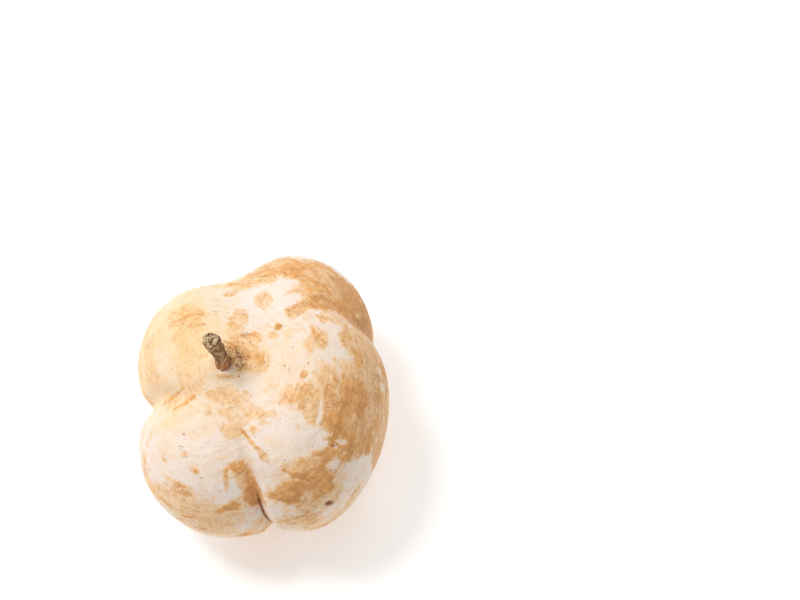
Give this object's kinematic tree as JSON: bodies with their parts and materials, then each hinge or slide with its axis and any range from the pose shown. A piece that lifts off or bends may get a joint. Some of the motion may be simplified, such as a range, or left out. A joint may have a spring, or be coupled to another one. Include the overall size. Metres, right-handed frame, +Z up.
{
  "type": "jicama root",
  "caption": "Squat, lobed jicama tuber with rounded clefts, a leaning stub of vine stem on the crown and a small flat spot to stand on.",
  "frame": {"origin": "on the surface that the root rests on, under the middle of its outline", "axes": "+Z up from the flat spot it rests on; +Y along its longest side, towards the back lobe; -X towards the side that the stem leans to"},
  "size_m": [0.1198, 0.1433, 0.1019],
  "materials": {
    "skin": "satin",
    "bark": "matte"
  },
  "bodies": {
    "root": {"tuber": "skin", "stem_stub": "bark"}
  },
  "joints": []
}
